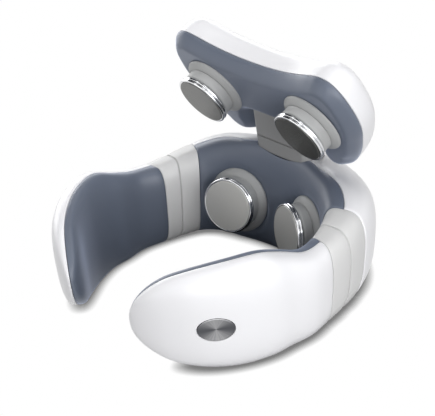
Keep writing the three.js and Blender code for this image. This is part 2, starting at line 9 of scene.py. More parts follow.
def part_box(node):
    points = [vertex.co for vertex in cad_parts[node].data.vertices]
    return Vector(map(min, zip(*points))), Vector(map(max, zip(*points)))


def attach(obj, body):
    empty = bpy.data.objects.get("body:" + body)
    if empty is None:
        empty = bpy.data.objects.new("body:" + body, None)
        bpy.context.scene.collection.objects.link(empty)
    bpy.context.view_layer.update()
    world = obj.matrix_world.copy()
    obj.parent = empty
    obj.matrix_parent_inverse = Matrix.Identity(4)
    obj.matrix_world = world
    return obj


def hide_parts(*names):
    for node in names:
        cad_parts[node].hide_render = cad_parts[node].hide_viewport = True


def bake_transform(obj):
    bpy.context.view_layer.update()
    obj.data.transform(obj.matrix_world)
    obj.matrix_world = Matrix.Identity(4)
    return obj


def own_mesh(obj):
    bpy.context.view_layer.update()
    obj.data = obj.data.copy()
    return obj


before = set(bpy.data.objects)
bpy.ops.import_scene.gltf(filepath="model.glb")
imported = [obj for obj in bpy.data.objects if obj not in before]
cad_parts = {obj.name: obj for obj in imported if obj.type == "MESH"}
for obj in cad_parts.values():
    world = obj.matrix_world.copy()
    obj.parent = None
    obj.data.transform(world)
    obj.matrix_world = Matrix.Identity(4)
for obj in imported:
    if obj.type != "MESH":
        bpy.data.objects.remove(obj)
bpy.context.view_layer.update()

# Camera, studio and floor
# The camera stands where the photograph was taken from, in front of the right arm and above it.
# The floor is matt card under large soft lamps. Seen straight or in a mirror it is white, with a
# narrow shadow where the object stands on it.

MM = 0.001
BRACKET_FRONT_Y = 57  # the bracket's front face, in the frame that the tables below are in
COLLAR_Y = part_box("bracket_lower")[0].y / MM - BRACKET_FRONT_Y  # from that frame to the pack's

CAMERA_PLACE = (608.6, -432.9 + COLLAR_Y, 460.5)
CAMERA_RIGHT = Vector((0.6425, 0.7538, -0.1376))
CAMERA_UP = Vector((-0.2938, 0.4083, 0.8643))
CAMERA_REACH = 20.0
SENSOR_WIDTH = 36.0
LENS = 134.25

LAMP_AIM = (0, 0, 0.05)
LAMPS = {  # place and size in metres, strength in watts
    "top_lamp": ((0, 0, 1.1), 0.8, 5.7),
    "front_lamp": ((0.78, -0.78, 0.2), 0.8, 6.4),
    "right_lamp": ((1.1, -0.1, 0.25), 0.8, 8.0),
    "back_right_lamp": ((0.65, 0.45, 0.7), 0.6, 1.4),
    "left_lamp": ((-1.1, 0, 0.3), 0.8, 5.4),
    "tip_lamp": ((-0.25, -1.05, 0.15), 0.6, 1.6),
    "back_left_lamp": ((-0.75, 0.5, 0.5), 0.7, 3.3),
}
FLAGS = {  # place, aim, width and height in metres
    "left_flag": ((-0.36, 0.02, 0.46), (0, 0, 0.1), 0.8, 0.34),
    "top_flag": ((-0.02, -0.02, 0.62), (0, 0, 0.08), 0.5, 0.36),
    "back_flag": ((0.05, 0.45, 0.38), (0, 0, 0.05), 0.4, 0.3),
}
FLAG_FELT = "#0b0b0c"
ROOM_GREY = "#eceef2"
ROOM_STRENGTH = 0.02

FLOOR_HALF = 3.0
FLOOR_BELOW = 0.0002
CARD_GREY = "#8a8a8a"
CARD_SHADED = "#141415"  # inside the collar, where the walls keep the light off
INSIDE_TO, OUTSIDE_FROM = 0.05, 0.08
SHADOW_REACH = 0.006
SHADOW_FROM, SHADOW_TO = 0.3, 0.95  # share of the floor's view that is open
SHADOW_TONE = 0.2


def linear(hex_colour):
    """The linear colour of an sRGB hex value."""
    parts = [int(hex_colour[i:i + 2], 16) / 255 for i in (1, 3, 5)]
    return [c / 12.92 if c <= 0.04045 else ((c + 0.055) / 1.055) ** 2.4 for c in parts] + [1.0]


def add(tree, kind, settings=None, **links):
    """A node with its properties or input values from settings, and its inputs linked.

    An input goes by its name, with _ for a space, or by its number: 1 in settings, _1 in links.
    """
    node = tree.nodes.new(kind)
    for name, value in (settings or {}).items():
        if isinstance(name, int) or name in node.inputs:
            node.inputs[name].default_value = value
        else:
            setattr(node, name, value)
    for name, source in links.items():
        key = int(name[1:]) if name[1:].isdigit() else name.replace("_", " ")
        tree.links.new(source, node.inputs[key])
    return node


def new_tree(name):
    """An empty material and its node tree."""
    material = bpy.data.materials.new(name)
    material.use_nodes = True
    material.node_tree.nodes.clear()
    return material, material.node_tree


def background_rays(tree, mirrored=None):
    """1 where the camera, a mirror or a refraction sees the background.

    Where mirrored is given, a mirror sees only that share of it.
    """
    path = add(tree, "ShaderNodeLightPath")
    glossy = path.outputs["Is Glossy Ray"]
    if mirrored is not None:
        glossy = add(tree, "ShaderNodeMath", {"operation": "MULTIPLY"}, _0=mirrored,
                     _1=glossy).outputs[0]
    seen = add(tree, "ShaderNodeMath", {"operation": "MAXIMUM"}, _0=glossy,
               _1=path.outputs["Is Transmission Ray"])
    return add(tree, "ShaderNodeMath", {"operation": "MAXIMUM"}, _0=seen.outputs[0],
               _1=path.outputs["Is Camera Ray"]).outputs[0]


def turned_to(spot, aim):
    """The pose of a lamp or card at spot that faces aim."""
    direction = Vector(spot) - Vector(aim)
    return Matrix.Translation(spot) @ direction.to_track_quat("Z", "Y").to_matrix().to_4x4()


def flat_sheet(name, half_width, half_height):
    """A flat rectangle about its own origin."""
    mesh = bpy.data.meshes.new(name)
    corners = [(-half_width, -half_height, 0), (half_width, -half_height, 0),
               (half_width, half_height, 0), (-half_width, half_height, 0)]
    mesh.from_pydata(corners, [], [(0, 1, 2, 3)])
    sheet = bpy.data.objects.new(name, mesh)
    bpy.context.scene.collection.objects.link(sheet)
    return sheet


camera_data = bpy.data.cameras.new("camera")
camera_data.lens = LENS
camera_data.sensor_width = SENSOR_WIDTH
camera_data.clip_end = CAMERA_REACH
camera = bpy.data.objects.new("camera", camera_data)
camera_back = CAMERA_RIGHT.cross(CAMERA_UP).normalized()
camera_up = camera_back.cross(CAMERA_RIGHT).normalized()
camera_axes = Matrix((CAMERA_RIGHT.normalized(), camera_up, camera_back)).transposed()
camera.matrix_world = Matrix.Translation(Vector(CAMERA_PLACE) * MM) @ camera_axes.to_4x4()
bpy.context.scene.collection.objects.link(camera)
bpy.context.scene.camera = camera
bpy.context.scene.view_settings.view_transform = "Standard"

for name, (spot, size, watts) in LAMPS.items():
    lamp_data = bpy.data.lights.new(name, "AREA")
    lamp_data.shape = "SQUARE"
    lamp_data.size = size
    lamp_data.energy = watts
    lamp = bpy.data.objects.new(name, lamp_data)
    lamp.matrix_world = turned_to(spot, LAMP_AIM)
    bpy.context.scene.collection.objects.link(lamp)

# Black felt cards that only a reflection shows, as a studio's flags do
felt, tree = new_tree("black_felt")
felt_cloth = add(tree, "ShaderNodeBsdfDiffuse", {"Color": linear(FLAG_FELT)})
add(tree, "ShaderNodeOutputMaterial", None, Surface=felt_cloth.outputs[0])
for name, (spot, aim, width, height) in FLAGS.items():
    flag = flat_sheet(name, width / 2, height / 2)
    flag.matrix_world = turned_to(spot, aim)
    flag.visible_camera = flag.visible_diffuse = flag.visible_shadow = False
    flag.data.materials.append(felt)

# The room is nearly dark to the object and white to the camera
world = bpy.data.worlds.new("studio")
world.use_nodes = True
tree = world.node_tree
tree.nodes.clear()
room = add(tree, "ShaderNodeBackground", {"Color": linear(ROOM_GREY), "Strength": ROOM_STRENGTH})
white = add(tree, "ShaderNodeBackground", {"Color": (1, 1, 1, 1), "Strength": 1.0})
world_mix = add(tree, "ShaderNodeMixShader", None, _0=background_rays(tree), _1=room.outputs[0],
                _2=white.outputs[0])
add(tree, "ShaderNodeOutputWorld", None, Surface=world_mix.outputs[0])
bpy.context.scene.world = world

# The card lights the object as grey card does, and glows white to the camera apart from its shadow
floor = flat_sheet("floor", FLOOR_HALF, FLOOR_HALF)
floor.location.z = -FLOOR_BELOW
floor_card, tree = new_tree("matt_card")
where = add(tree, "ShaderNodeNewGeometry")
from_middle = add(tree, "ShaderNodeVectorMath", {"operation": "LENGTH"},
                  _0=where.outputs["Position"])
outside = add(tree, "ShaderNodeMapRange", {"From Min": INSIDE_TO, "From Max": OUTSIDE_FROM,
                                           "interpolation_type": "SMOOTHSTEP"},
              Value=from_middle.outputs["Value"])
card_tone = add(tree, "ShaderNodeMix", {"data_type": "RGBA", 6: linear(CARD_SHADED),
                                        7: linear(CARD_GREY)}, Factor=outside.outputs[0])
lit_card = add(tree, "ShaderNodeBsdfDiffuse", None, Color=card_tone.outputs[2])
contact = add(tree, "ShaderNodeAmbientOcclusion", {"Distance": SHADOW_REACH, "samples": 16})
contact_tone = add(tree, "ShaderNodeMapRange", {"From Min": SHADOW_FROM, "From Max": SHADOW_TO,
                                                "To Min": SHADOW_TONE},
                   Value=contact.outputs["AO"])
glow = add(tree, "ShaderNodeEmission", {"Color": (1, 1, 1, 1)}, Strength=contact_tone.outputs[0])
floor_mix = add(tree, "ShaderNodeMixShader", None, _0=background_rays(tree, outside.outputs[0]),
                _1=lit_card.outputs[0], _2=glow.outputs[0])
add(tree, "ShaderNodeOutputMaterial", None, Surface=floor_mix.outputs[0])
floor.data.materials.append(floor_card)


# White shells of the back section and of the two arms
# Gloss-moulded ABS, 2 mm thick, clipped round the frame with its rim on the parting line.
# Each is one smooth outward dome, and an arm's shell closes to a rounded tip at its end.

SEAM = 0.3
SHELL_WALL = 2.0
RIM_ROUND = 0.35
RIM_TURNS = (90, 50, 20)  # degrees round the rim's edge
THINNEST = 0.05  # half a wall's height or depth, at the closed tip
LEAN_HEIGHT = 28  # a section's x and y hold at this height, and it leans from there
# One section of the wall a row, from the middle of the back to the tip of the right arm, in mm:
# the foot of its inner face, the way it faces in degrees, its thickness and the pad's share of
# it, its top and bottom edges, and how far it leans for each mm of height
SECTION_VALUES = ("x", "y", "facing", "wall", "pad", "top", "bottom", "lean_x", "lean_y")
STATIONS = np.array([
    [0, 50.4, 0, 33, 6, 57.3, -0.6, 0, 0.21],
    [14, 49.4, 8.4, 34.5, 6, 57.2, -0.6, 0, 0.21],
    [27.5, 46.4, 17, 35, 6.8, 55.7, -0.6, 0, 0.21],
    [40.3, 42.3, 45, 30.5, 10.4, 53.2, -0.6, 0.01, 0.21],
    [49.2, 36.2, 67, 25.5, 11.8, 48.4, -0.8, 0.04, 0.19],
    [54.8, 26.9, 81, 23.5, 9.5, 45.9, -0.8, 0.06, 0.17],
    [57.9, 18.5, 97, 22.7, 10.4, 44.4, -1.2, 0.06, 0.14],
    [62, 4.5, 95.5, 21.4, 8.3, 45.8, -1.2, 0.07, 0.12],
    [60.8, -8.5, 96, 21.8, 7.2, 51.6, -1.2, 0.06, 0.08],
    [60, -20, 101, 21.5, 7.5, 57, -1.2, 0.05, 0.04],
    [55, -33, 114, 20, 7.2, 57.5, -1.2, 0.03, 0.02],
    [46.5, -45, 128, 18.5, 7, 55.5, 0.5, 0.01, 0],
    [36, -55.5, 138, 15.5, 7, 51.5, 4, 0, 0],
    [21, -67, 144, 12, 7, 46, 8, 0, 0],
])
MIRRORED = np.array([-1, 1, -1, 1, 1, 1, 1, -1, 1])  # makes a row the left side's
BACK_END, LINK_GROOVE, ARM_START, ARM_END = 4, 5, 6, 13
STATION_LENGTH = 11  # mm from one station to the next, about
LINK_STATION_LENGTH = 10  # the same at the links
HALF_SEAM_STATIONS = SEAM / 2 / LINK_STATION_LENGTH
BACK_SPACING, ARM_SPACING = 1.3, 1.1
TIP_CROWDING = 0.85
TIP_HEIGHT_FROM, TIP_DEPTH_FROM = 11.6, 11.9  # the stations where the arm starts to close
TIP_CLOSED = 0.9995  # how near the tip comes to a point
OUTER_ROUNDNESS, INNER_ROUNDNESS, CLOSE_ROUNDNESS = 2.9, 3.6, 2.2  # 2 is an ellipse, more is fuller
DOME_STEPS = 44
MERGE_WITHIN, SLIVER_BELOW = 2e-6, 1e-6
SHARP_ANGLE = 38
SIDES = {"left": -1, "right": 1}
SHELL_WHITE = "#f4f4f7"
CLOUD = 28  # mm over which a moulding's colour varies


def station(u):
    """The collar's section at station u, by a smooth curve through the rows.

    The left arm has the stations below 0.
    """
    a = min(abs(u), ARM_END)
    i = min(int(a), ARM_END - 1)
    t = a - i
    rows = []
    for k in (i - 1, i, i + 1, i + 2):
        if k < 0:
            rows.append(STATIONS[-k] * MIRRORED)
        elif k > ARM_END:
            rows.append(2 * STATIONS[ARM_END] - STATIONS[ARM_END - 1])
        else:
            rows.append(STATIONS[k])
    p, q, r, s = rows
    mixed = q + t * ((r - p) / 2 + t * (p - 2.5 * q + 2 * r - s / 2
                                        + t * ((s - p) / 2 + 1.5 * (q - r))))
    section = dict(zip(SECTION_VALUES, mixed))
    section["facing"] = math.radians(section["facing"])
    section["side"] = -1 if u < 0 else 1
    return section


def place(u, out, z, floor_z=0.0):
    """Points at station u, out from the inner face, at height z of the parting plane, in metres."""
    s = station(u)
    x = s["x"] + out * math.sin(s["facing"]) + (z - LEAN_HEIGHT) * s["lean_x"]
    y = s["y"] + out * math.cos(s["facing"]) + (z - LEAN_HEIGHT) * s["lean_y"] + COLLAR_Y
    lean_out = s["lean_x"] * math.sin(s["facing"]) + s["lean_y"] * math.cos(s["facing"])
    height = np.maximum(z - (out - s["pad"]) * lean_out, floor_z)
    return np.stack([s["side"] * x, y, height], axis=1) * MM


def closing(u, start):
    """1 along the arm, falling to 0 from start to its tip."""
    w = min(max((abs(u) - start) / (ARM_END - start), 0), TIP_CLOSED)
    return (1 - w ** CLOSE_ROUNDNESS) ** (1 / CLOSE_ROUNDNESS)


def dome(u, outward, inset, steps, rim=0.0):
    """One side of the wall at station u, from its top edge to its bottom edge: out and z in mm."""
    s = station(u)
    middle = (s["top"] + s["bottom"]) / 2
    half = (s["top"] - s["bottom"]) / 2 * closing(u, TIP_HEIGHT_FROM) - inset
    half = max(half, THINNEST)
    depth = (s["wall"] - s["pad"] if outward > 0 else s["pad"]) * closing(u, TIP_DEPTH_FROM) - inset
    depth = max(depth - SEAM / 2, THINNEST)
    power = 2 / (OUTER_ROUNDNESS if outward > 0 else INNER_ROUNDNESS)
    a = np.linspace(math.pi / 2, -math.pi / 2, steps + 1)
    out = s["pad"] + outward * (SEAM / 2 + depth * np.clip(np.cos(a), 0, 1) ** power)
    z = middle + half * np.sign(np.sin(a)) * np.abs(np.sin(a)) ** power
    if not rim:
        return out, z
    # The rim on the parting line is rounded, so that the seam reads as a fine line
    base = s["pad"] + outward * SEAM / 2
    turn = np.radians(RIM_TURNS)
    rim = min(rim, half / 3)
    edge_out = base + outward * rim * (1 - np.sin(turn))
    edge_drop = rim * (1 - np.cos(turn[::-1]))[::-1]
    out = np.concatenate([edge_out, out[1:-1], edge_out[::-1]])
    z = np.concatenate([z[0] - edge_drop, z[1:-1], (z[-1] + edge_drop)[::-1]])
    return out, z


def span(start, end, step, rounded=False):
    """Stations from start to end about step mm apart, closer together towards a rounded tip."""
    count = int(abs(end - start) * STATION_LENGTH / step)
    t = np.linspace(0, 1, count + 1)
    if rounded:
        t = np.sin(t * math.pi / 2) ** TIP_CROWDING
    return start + (end - start) * t


def with_end_rounding(stations, both=True):
    """Pairs of station and inset: an end is drawn in over its last third of a millimetre."""
    step = math.copysign(RIM_ROUND / STATION_LENGTH, stations[-1] - stations[0])
    rounding = [(0, RIM_ROUND), (step / 3, RIM_ROUND / 3), (step, 0.0)]
    start = [(stations[0] + along, inset) for along, inset in rounding]
    end = [(stations[-1] - along, inset) for along, inset in reversed(rounding)]
    return start + [(u, 0.0) for u in stations[1:-1]] + (end if both else [(stations[-1], 0.0)])


def finished(name, points, faces, sharp_angle=SHARP_ANGLE):
    """A new piece from points and faces: merged, faces out, smooth apart from its real edges."""
    mesh = bpy.data.meshes.new(name)
    mesh.from_pydata(np.array(points).tolist(), [], faces)
    work = bmesh.new()
    work.from_mesh(mesh)
    bmesh.ops.remove_doubles(work, verts=work.verts, dist=MERGE_WITHIN)
    bmesh.ops.dissolve_degenerate(work, edges=work.edges, dist=SLIVER_BELOW)
    bmesh.ops.recalc_face_normals(work, faces=work.faces)
    work.to_mesh(mesh)
    work.free()
    mesh.shade_smooth()
    mesh.set_sharp_from_angle(angle=math.radians(sharp_angle))
    piece = bpy.data.objects.new(name, mesh)
    bpy.context.scene.collection.objects.link(piece)
    return piece


def ring_faces(rings):
    """The quads between rings of like-numbered points, each ring closed on itself."""
    count = len(rings[0])
    return [(i * count + k, i * count + (k + 1) % count, (i + 1) * count + (k + 1) % count,
             (i + 1) * count + k) for i in range(len(rings) - 1) for k in range(count)]


def loft(name, rings):
    """A closed skin through rings. Each end is closed across its ring, as a C or a D needs."""
    count = len(rings[0])
    last = (len(rings) - 1) * count
    faces = ring_faces(rings)
    for k in range(count // 2 - 1):
        first = (k, count - 1 - k, count - 2 - k, k + 1)
        faces += [first, tuple(last + j for j in reversed(first))]
    return finished(name, np.concatenate(rings), faces)


def shell_ring(u, inset):
    """The C-shaped section of a shell: outside from top to bottom, then inside back up."""
    out, z = dome(u, 1, inset, DOME_STEPS, RIM_ROUND)
    inner_out, inner_z = dome(u, 1, SHELL_WALL, len(out) - 1)
    return np.concatenate([place(u, out, z), place(u, inner_out, inner_z, SHELL_WALL)[::-1]])


def collar_shell(name, stations, both_ends=True):
    """A shell over a run of stations, with its rim rounded at both ends or only at the first."""
    return loft(name, [shell_ring(u, inset) for u, inset in with_end_rounding(stations, both_ends)])


def cut(piece, cutter):
    """Cuts a hole or a notch in a piece, and throws the cutter away."""
    modifier = piece.modifiers.new("cut", "BOOLEAN")
    modifier.operation = "DIFFERENCE"
    modifier.solver = "EXACT"
    modifier.object = cutter
    applied = bpy.data.meshes.new_from_object(
        piece.evaluated_get(bpy.context.evaluated_depsgraph_get()))
    piece.modifiers.clear()
    old = piece.data
    piece.data = applied
    applied.name = piece.name
    bpy.data.meshes.remove(old)
    bpy.data.objects.remove(cutter)
    piece.data.set_sharp_from_angle(angle=math.radians(SHARP_ANGLE))
    return piece


def grained_finish(name, colour, rough, grain, grain_depth, metal=0.0, ior=1.5, shade=0.04,
                   rough_spread=0.05, **extra):
    """A finish whose colour varies a little and whose fine grain breaks its shine.

    The grain's width and depth are in mm. The real grain is finer than a pixel, so it is drawn
    as coarse as it needs to show.
    """
    material, tree = new_tree(name)
    at = add(tree, "ShaderNodeTexCoord").outputs["Object"]
    cloud = add(tree, "ShaderNodeTexNoise", {"Scale": 1 / (CLOUD * MM), "Detail": 2.0}, Vector=at)
    base = linear(colour)[:3]
    tone = add(tree, "ShaderNodeMix", {
        "data_type": "RGBA",
        6: [c * (1 - shade) for c in base] + [1],
        7: [min(c * (1 + shade), 1) for c in base] + [1],
    }, Factor=cloud.outputs["Fac"])
    grains = add(tree, "ShaderNodeTexNoise", {"Scale": 1 / (grain * MM), "Detail": 3.0}, Vector=at)
    bump = add(tree, "ShaderNodeBump", {"Strength": 1.0, "Distance": grain_depth * MM},
               Height=grains.outputs["Fac"])
    roughness = add(tree, "ShaderNodeMapRange", {"To Min": rough - rough_spread,
                                                 "To Max": rough + rough_spread},
                    Value=grains.outputs["Fac"])
    shader = add(tree, "ShaderNodeBsdfPrincipled", {"Metallic": metal, "IOR": ior, **extra},
                 Base_Color=tone.outputs[2], Roughness=roughness.outputs[0],
                 Normal=bump.outputs[0])
    add(tree, "ShaderNodeOutputMaterial", None, Surface=shader.outputs[0])
    return material


def dress(piece, material, body, slot, *replaced):
    """Gives a piece its finish, its body and the nodes it stands for. The slot is not used."""
    piece.data.materials.clear()
    piece.data.materials.append(material)
    if body:
        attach(piece, body)
    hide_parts(*replaced)
    return piece


# A polished mould gives the ABS a clear, slightly soft shine with a faint waviness
gloss_abs = grained_finish("gloss_moulded_abs", SHELL_WHITE, 0.3, 1.5, 0.0015, ior=1.54,
                           shade=0.006, rough_spread=0.03)
back_stations = span(-BACK_END + HALF_SEAM_STATIONS, BACK_END - HALF_SEAM_STATIONS, BACK_SPACING)
arm_stations = {name: span(side * (ARM_START + HALF_SEAM_STATIONS), side * ARM_END, ARM_SPACING,
                           True)
                for name, side in SIDES.items()}
back_shell = dress(collar_shell("back_shell", back_stations), gloss_abs, "back_section",
                   "shell_white", "rear_shell")
arm_shells = {name: dress(collar_shell(f"{name}_shell", arm_stations[name], False), gloss_abs,
                          f"{name}_arm", "shell_white", f"{name}_arm_shell")
              for name in SIDES}


# Blue-grey pads of the back section and of the two arms
# Soft-touch silicone over foam, pressed to the frame, with a full round edge all the way along.
# It is matt, and it takes a soft light along every edge that faces up.

PAD_BLUE = "#626a79"
PAD_SHEEN = "#cfd9f2"


def pad_ring(u, inset):
    """The D-shaped section of a pad: its rounded front, then its flat back."""
    out, z = dome(u, -1, inset, DOME_STEPS, RIM_ROUND)
    back = np.linspace(1, 0, len(out))
    back_out = np.full(len(out), out[0])
    return np.concatenate([place(u, out, z), place(u, back_out, z[0] + (z[-1] - z[0]) * back)])


def collar_pad(name, stations, both_ends=True):
    """A pad over a run of stations, with its edge rounded at both ends or only at the first."""
    return loft(name, [pad_ring(u, inset) for u, inset in with_end_rounding(stations, both_ends)])


# The soft-touch coat scatters light like a fine down, so that edges turned away look paler
soft_silicone = grained_finish("soft_touch_silicone", PAD_BLUE, 0.4, 0.35, 0.01, ior=1.45,
                               shade=0.03, **{"Sheen Weight": 0.9, "Sheen Roughness": 0.35,
                                              "Sheen Tint": linear(PAD_SHEEN),
                                              "Specular IOR Level": 0.6})
back_pad = dress(collar_pad("back_pad", back_stations), soft_silicone, "back_section",
                 "pad_silicone", "rear_pad")
for name in SIDES:
    arm_pad = dress(collar_pad(f"{name}_pad", arm_stations[name], False), soft_silicone,
                    f"{name}_arm", "pad_silicone", f"{name}_arm_pad")


# Flexible links between the back section and the arms
# Light grey moulded TPU over a spring strip, one piece a side with a groove round it at the middle.
# The real link bends there; here it keeps its rest shape, each half swelling a little between the
# groove and its seam.

LINK_GREY = "#dbdbdb"
SWELL = 0.45
GROOVE_DEPTH = 1.1
GROOVE_HALF, BEND_INSIDE = 0.045, 0.1  # in stations


def link_inset(u):
    """How far the link's skin is drawn in at station u: the swell of a half, and the groove."""
    half = (abs(u) - BACK_END) % 1.0
    swell = SWELL * abs(2 * half - 1) ** 5
    groove = max(1 - (abs(abs(u) - LINK_GROOVE) / GROOVE_HALF) ** 2, 0) ** 0.5
    return swell + GROOVE_DEPTH * groove


def link_ring(u):
    """The closed section of a link: outside from top to bottom, then inside back up."""
    out, z = dome(u, 1, link_inset(u), DOME_STEPS)
    inner_out, inner_z = dome(u, -1, link_inset(u), DOME_STEPS)
    return np.concatenate([place(u, out, z), place(u, inner_out, inner_z)[::-1]])


# TPU from a blasted mould has a dull, even shine
flexible_tpu = grained_finish("moulded_tpu", LINK_GREY, 0.38, 0.5, 0.006, shade=0.015)
near_groove = LINK_GROOVE + GROOVE_HALF * np.linspace(-1, 1, 9)
before = np.linspace(BACK_END + HALF_SEAM_STATIONS, near_groove[0], 12)[:-1]
after = np.linspace(near_groove[-1], ARM_START - HALF_SEAM_STATIONS, 12)[1:]
for name, side in SIDES.items():
    link = loft(f"{name}_link", [link_ring(side * u)
                                 for u in np.concatenate([before, near_groove, after])])
    dress(link, flexible_tpu, None, "link_rubber", f"{name}_link_rear", f"{name}_link_front")
    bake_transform(link)


# Upper module: blue-grey pad in front, white shell behind
# The same gloss ABS and soft-touch silicone as the collar, in the outline of a saddle.
# The pad has a broad round edge and a flat face that the two upper heads stand on.

UPPER_TILT = 23
UPPER_PLACE = (0.0, 38.1 + COLLAR_Y, 84.8)
UPPER_PARTING = 21
UPPER_SHELL_DEPTH = 16
UPPER_EDGE_ROUND = 11
UPPER_ROUNDNESS = 2.8
UPPER_BACK_INSET = UPPER_EDGE_ROUND + 0.6
UPPER_PAD_LAP = 4.0
SHELL_ARC_STEPS, HOLLOW_ARC_STEPS = 26, 10
UPPER_BEVEL = [  # forward of the parting line, drawn in
    (0.4, 0.02), (1.0, 0.08), (1.7, 0.22), (2.4, 0.48), (3.1, 0.9), (3.8, 1.42), (4.6, 2.1),
    (5.4, 2.84), (6.1, 3.53), (6.7, 4.18), (7.15, 4.76), (7.5, 5.36), (7.72, 6.0), (7.82, 6.7),
    (7.85, 7.5), (7.85, 8.6),
]
UPPER_OUTLINE = [  # the right half, from the middle of the top to the middle of the arch
    (0, 22.2), (12, 22.6), (24, 23.8), (34.3, 25.8), (45, 28.6), (53, 29.8), (59.3, 27.9),
    (63.8, 22), (66.2, 13), (66.8, 3.5), (65.2, -5), (61.6, -13), (56.5, -22), (50.5, -30),
    (44, -36.3), (38, -38.5), (32, -37.3), (28.8, -32.5), (28, -25), (25.6, -19), (19, -16.9),
    (0, -16.2),
]
UPPER_SPINE = [(-42, -23), (-45, 1), (45, 1), (42, -23)]
OUTLINE_SPACING = 1.2
CURVE_STEPS = 40
SMOOTH_OVER = 3  # neighbours on each side


def closed_curve(points, spacing):
    """Points about spacing apart on a smooth closed curve through the ones given."""
    p = np.array(points, float)
    n = len(p)
    dense = []
    for i in range(n):
        a, b, c, d = (p[(i + k) % n] for k in (-1, 0, 1, 2))
        k1, k2, k3 = (max(np.linalg.norm(v), 1e-6) ** 0.5 for v in (b - a, c - b, d - c))
        m1 = k2 * ((b - a) / k1 - (c - a) / (k1 + k2) + (c - b) / k2)
        m2 = k2 * ((c - b) / k2 - (d - b) / (k2 + k3) + (d - c) / k3)
        for t in np.linspace(0, 1, CURVE_STEPS, endpoint=False):
            dense.append((2 * t ** 3 - 3 * t ** 2 + 1) * b + (t ** 3 - 2 * t ** 2 + t) * m1
                         + (3 * t ** 2 - 2 * t ** 3) * c + (t ** 3 - t ** 2) * m2)
    dense = np.array(dense + [dense[0]])
    run = np.concatenate([[0], np.cumsum(np.linalg.norm(np.diff(dense, axis=0), axis=1))])
    at = np.linspace(0, run[-1], int(run[-1] / spacing), endpoint=False)
    return np.stack([np.interp(at, run, dense[:, k]) for k in range(2)], axis=1)


def towards_spine(outline):
    """The way that each point of the outline is drawn in: to the nearest point of the spine."""
    spine = np.array(UPPER_SPINE, float)
    ways = []
    for p in outline:
        near = []
        for a, b in zip(spine, spine[1:]):
            t = np.clip(np.dot(p - a, b - a) / np.dot(b - a, b - a), 0, 1)
            near.append(a + (b - a) * t)
        nearest = min(near, key=lambda q: np.linalg.norm(q - p))
        ways.append((nearest - p) / np.linalg.norm(nearest - p))
    ways = sum(np.roll(ways, k, axis=0) for k in range(-SMOOTH_OVER, SMOOTH_OVER + 1))
    return ways / np.linalg.norm(ways, axis=1)[:, None]


def module_ring(outline, depth):
    """The outline at a depth behind the heads' faces, in the module's place."""
    turn = Matrix.Rotation(math.radians(UPPER_TILT), 3, "X")
    return np.array([(turn @ Vector((x, depth, z)) + Vector(UPPER_PLACE)) * MM for x, z in outline])


def capped_skin(name, rings, sharp_angle=SHARP_ANGLE):
    """A closed skin through rings, with one flat face at each end."""
    count = len(rings[0])
    caps = [tuple(range(count))[::-1], tuple(range((len(rings) - 1) * count, len(rings) * count))]
    return finished(name, np.concatenate(rings), ring_faces(rings) + caps, sharp_angle)


def module_skin(name, profile):
    """A closed skin through rings of the module's outline, each (depth, drawn in)."""
    return capped_skin(name, [module_ring(module_curve + module_inward * inset, depth)
                              for depth, inset in profile])


def edge_arc(start, depth, round_in, roundness, steps):
    """(depth, drawn in) along a rounded edge, from the parting line to the face."""
    arc = []
    for k in range(steps + 1):
        a = k / steps * math.pi / 2
        arc.append((start + depth * math.sin(a) ** (2 / roundness),
                    round_in * (1 - max(math.cos(a), 0) ** (2 / roundness))))
    return arc


left_half = [(-x, z) for x, z in UPPER_OUTLINE[-2:0:-1]]
module_curve = closed_curve(UPPER_OUTLINE + left_half, OUTLINE_SPACING)
module_inward = towards_spine(module_curve)
pad_rim = UPPER_PARTING - SEAM / 2
upper_pad = module_skin("module_pad", [
    (pad_rim, UPPER_PAD_LAP), (pad_rim, RIM_ROUND), (pad_rim - RIM_ROUND / 3, RIM_ROUND / 3),
    *[(pad_rim - forward, inset) for forward, inset in UPPER_BEVEL],
])
dress(upper_pad, soft_silicone, "upper_module", "pad_silicone", "upper_pad")
shell_rim = UPPER_PARTING + SEAM / 2
shell_arc = edge_arc(shell_rim, UPPER_SHELL_DEPTH, UPPER_EDGE_ROUND, UPPER_ROUNDNESS,
                     SHELL_ARC_STEPS)
shell_arc = [(depth, inset) for depth, inset in shell_arc if depth - shell_rim >= RIM_ROUND]
hollow_arc = edge_arc(shell_rim, UPPER_SHELL_DEPTH - SHELL_WALL, UPPER_EDGE_ROUND - SHELL_WALL,
                      UPPER_ROUNDNESS, HOLLOW_ARC_STEPS)
hollow_arc = [(depth, inset + SHELL_WALL) for depth, inset in reversed(hollow_arc)]
upper_shell = module_skin("module_shell", [
    *hollow_arc, (shell_rim, RIM_ROUND), (shell_rim + RIM_ROUND / 3, RIM_ROUND / 3), *shell_arc,
    (shell_rim + UPPER_SHELL_DEPTH, UPPER_BACK_INSET),
])
dress(upper_shell, gloss_abs, "upper_module", "shell_white", "upper_shell")


# Flexible bracket between the back section and the upper module
# The same TPU as the links, in a grey painted darker as painted shade for the shade under the
# module, moulded round a spring strip and let into both parts.
# A groove crosses it just above the collar, where the real bracket bends when the module tilts
# back;
# here it keeps its rest shape.

BRACKET_HALF = 20.3
BRACKET_DEPTH = 16.0
BRACKET_MIDDLE = BRACKET_FRONT_Y + COLLAR_Y + BRACKET_DEPTH / 2
BRACKET_FOOT = 53.5
BRACKET_GROOVE = 63.0
BRACKET_GROOVE_HALF = 0.6
BRACKET_PLAIN_FROM = 1.4  # from the groove's middle
BRACKET_TOP = 80.0
BRACKET_ROUND = 4.0
BRACKET_CORNER_STEPS = 8
BRACKET_FOOT_EDGE = [(0, -1.2), (0.15, -0.6), (0.6, -0.15), (1.2, 0.0)]  # up, grown
BRACKET_TOP_EDGE = [(-0.3, -0.3), (0, -1.0)]
BRACKET_CLEAR_OVER = 20  # the notch in the collar is open at the top
# Painted shade: the links' TPU grey darkened for the shade the bracket sits in under the module
BRACKET_GREY_PAINTED_SHADE = "#979797"


